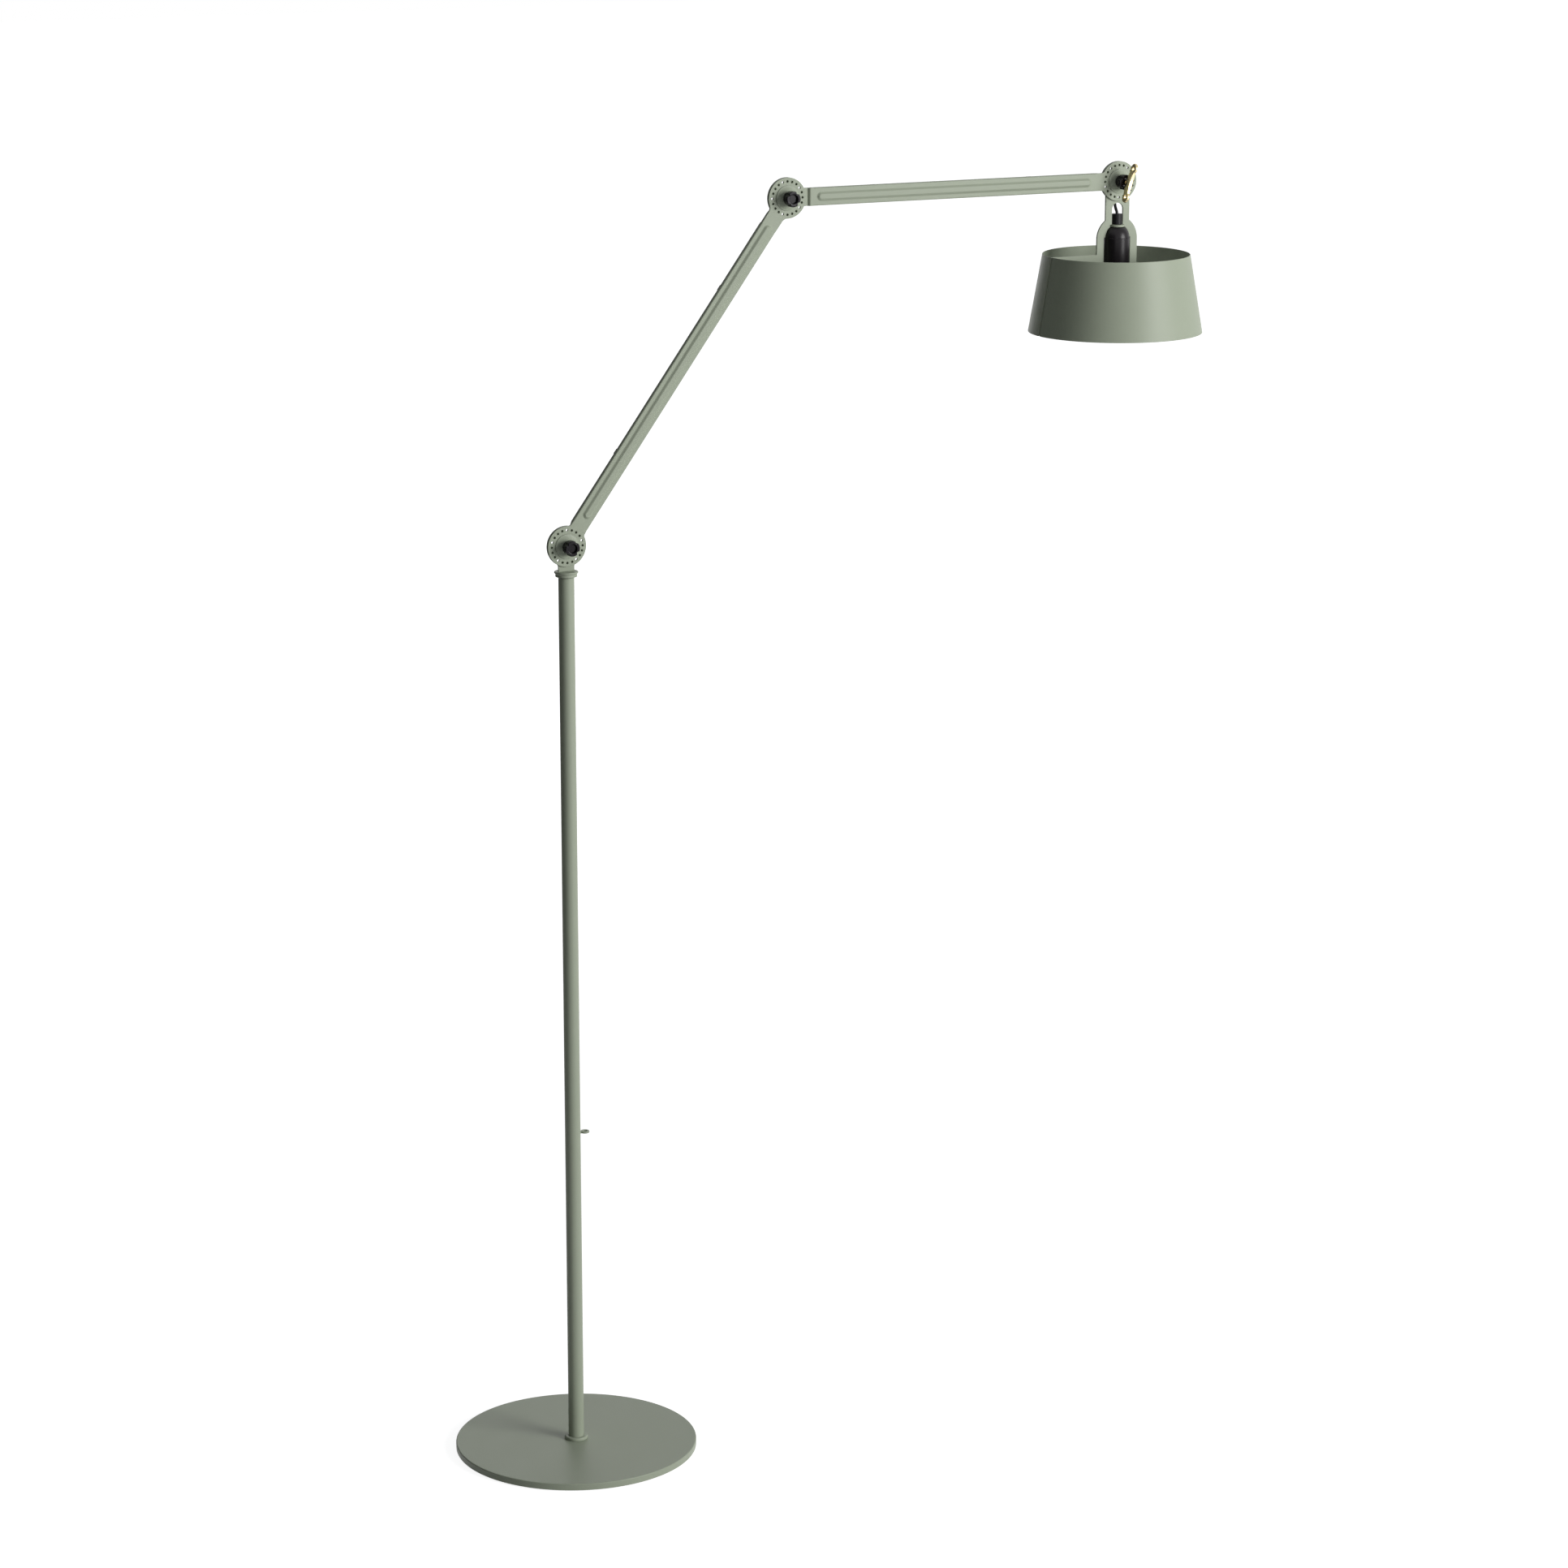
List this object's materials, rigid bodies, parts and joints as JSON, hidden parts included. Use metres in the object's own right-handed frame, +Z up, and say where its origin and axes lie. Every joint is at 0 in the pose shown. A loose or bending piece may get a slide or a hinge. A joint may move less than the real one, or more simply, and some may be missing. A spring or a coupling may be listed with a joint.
{
  "type": "adjustable arm floor lamp",
  "caption": "Floor lamp on a round base with two folding channel arms, flat hinge discs with clamp knobs and an open conical metal shade.",
  "frame": {"origin": "on the floor, at the middle of the round base, where the disc under the base bolt rests", "axes": "+Z up along the pole, +X the way that the arms reach at rest, -Y the side that the knobs are on"},
  "size_m": [1.1732, 0.35, 1.8295],
  "materials": {
    "sage_powder_coat": "fine-grained satin powder coat in grey sage green on steel",
    "black_gloss_plastic": "moulded black plastic with a soft gloss",
    "black_phenolic": "smooth black moulded lampholder plastic, satin gloss",
    "black_nylon": "black nylon, satin",
    "black_rubber": "matt black rubber",
    "cable_sheath": "matt black flexible cable sheath",
    "zinc_steel": "bright zinc plated steel",
    "plain_brass": "machined brass",
    "polished_brass": "polished brass",
    "white_ceramic": "glazed white ceramic insulator",
    "opal_glass": "opal white bulb glass"
  },
  "bodies": {
    "base": {"base_foot_1": "black_rubber", "base_foot_2": "black_rubber", "base_foot_3": "black_rubber", "base_foot_4": "black_rubber", "base_foot_5": "black_rubber", "base_bolt_cover": "black_rubber", "base_plate": "sage_powder_coat", "base_bolt": "zinc_steel", "base_washer": "zinc_steel", "pole_foot_ring": "sage_powder_coat", "pole_foot_insert": "zinc_steel", "pole_tube": "sage_powder_coat", "pole_top_bush": "black_nylon", "cable_eyelet": "sage_powder_coat", "cord_outlet_grommet": "black_nylon", "cable_in_pole": "cable_sheath"},
    "pole_head": {"head_plug": "sage_powder_coat", "head_plate": "sage_powder_coat", "hinge_bolt_1": "zinc_steel", "cable_in_head": "cable_sheath", "cable_loop_1": "cable_sheath"},
    "lower_arm": {"lower_arm": "sage_powder_coat", "bell_washer_1": "sage_powder_coat", "bell_washer_2": "sage_powder_coat", "cable_in_lower_arm": "cable_sheath", "lower_arm_clip_near": "zinc_steel", "lower_arm_clip_far": "zinc_steel", "cable_loop_2": "cable_sheath"},
    "upper_arm": {"upper_arm": "sage_powder_coat", "hinge_bolt_2": "zinc_steel", "bell_washer_3": "sage_powder_coat", "cable_in_upper_arm": "cable_sheath", "upper_arm_clip_near": "zinc_steel", "upper_arm_clip_far": "zinc_steel", "cable_loop_3": "cable_sheath"},
    "shade_head": {"shade_bracket": "sage_powder_coat", "hinge_bolt_3": "zinc_steel", "cord_grip": "black_nylon", "lampholder_dome": "black_phenolic", "lampholder_skirt": "black_phenolic", "lampholder_core": "white_ceramic", "lampholder_shell": "plain_brass", "centre_contact": "plain_brass", "bulb_cap": "zinc_steel", "bulb_glass": "opal_glass", "shade": "sage_powder_coat", "shade_rivet_1": "sage_powder_coat", "shade_rivet_2": "sage_powder_coat", "shade_rivet_3": "sage_powder_coat", "cable_in_bracket": "cable_sheath"},
    "knob_1": {"knob_1": "black_gloss_plastic", "knob_insert_1": "plain_brass"},
    "knob_2": {"knob_2": "black_gloss_plastic", "knob_insert_2": "plain_brass"},
    "knob_3": {"knob_3": "black_gloss_plastic", "knob_insert_3": "plain_brass"},
    "wing_nut": {"wing_nut": "polished_brass"}
  },
  "joints": [
    {"name": "head_swivel", "type": "hinge", "parent": "base", "child": "pole_head", "pos_m": [0, 0, 1.29], "axis": [0, 0, 1], "range_deg": [-170, 170]},
    {"name": "lower_arm_hinge", "type": "hinge", "parent": "pole_head", "child": "lower_arm", "pos_m": [0, 0, 1.334], "axis": [0, -1, 0], "range_deg": [-54, 54], "deforming": ["cable_loop_1"]},
    {"name": "upper_arm_hinge", "type": "hinge", "parent": "lower_arm", "child": "upper_arm", "pos_m": [0.33915, 0, 1.8008], "axis": [0, -1, 0], "range_deg": [-72, 72], "deforming": ["cable_loop_2"]},
    {"name": "shade_hinge", "type": "hinge", "parent": "upper_arm", "child": "shade_head", "pos_m": [0.87115, 0, 1.8008], "axis": [0, -1, 0], "range_deg": [-30, 90], "deforming": ["cable_loop_3"]},
    {"name": "knob_1_turn", "type": "hinge", "parent": "pole_head", "child": "knob_1", "pos_m": [0, 0, 1.334], "axis": [0, -1, 0], "continuous": true},
    {"name": "knob_2_turn", "type": "hinge", "parent": "upper_arm", "child": "knob_2", "pos_m": [0.33915, 0, 1.8008], "axis": [0, -1, 0], "continuous": true},
    {"name": "knob_3_turn", "type": "hinge", "parent": "shade_head", "child": "knob_3", "pos_m": [0.87115, 0, 1.8008], "axis": [0, -1, 0], "continuous": true},
    {"name": "wing_nut_turn", "type": "hinge", "parent": "shade_head", "child": "wing_nut", "pos_m": [0.87115, 0, 1.8008], "axis": [0, -1, 0], "continuous": true}
  ]
}
